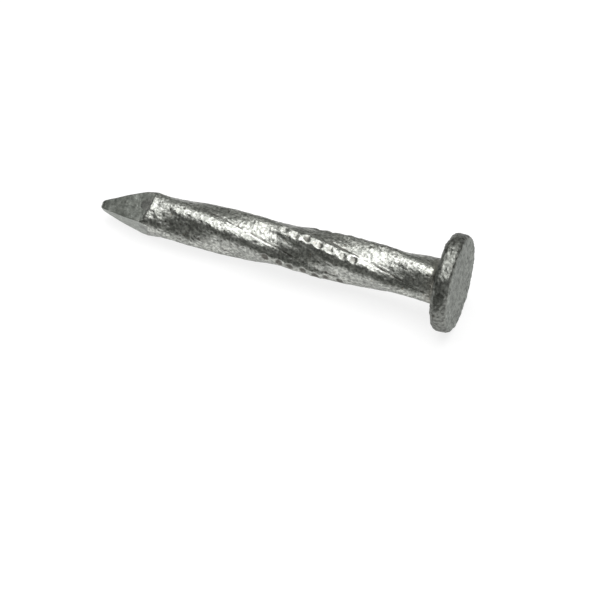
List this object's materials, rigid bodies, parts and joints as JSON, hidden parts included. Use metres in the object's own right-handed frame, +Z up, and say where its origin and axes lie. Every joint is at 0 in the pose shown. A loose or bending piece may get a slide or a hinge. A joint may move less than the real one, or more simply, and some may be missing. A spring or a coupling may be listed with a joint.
{
  "type": "nail",
  "caption": "Galvanised square-twist nail with a flat round head and a diamond point, for fixing metal straps, hangers and boards to timber.",
  "frame": {"origin": "on the shank's axis, in the plane of the head's bearing face", "axes": "+X along the shank from the point to the head, +Z up as the nail lies on its side, +Y across"},
  "size_m": [0.0316, 0.0083, 0.0083],
  "materials": {
    "steel": "cold-drawn low-carbon steel wire, hidden under the zinc",
    "zinc": "hot-dip zinc, grainy satin grey with small runs, pits and bright worn edges"
  },
  "bodies": {
    "root": {"head": "steel", "neck": "steel", "shank": "steel", "point": "steel", "head_coat": "zinc", "neck_coat": "zinc", "shank_coat": "zinc", "point_coat": "zinc"}
  },
  "joints": []
}
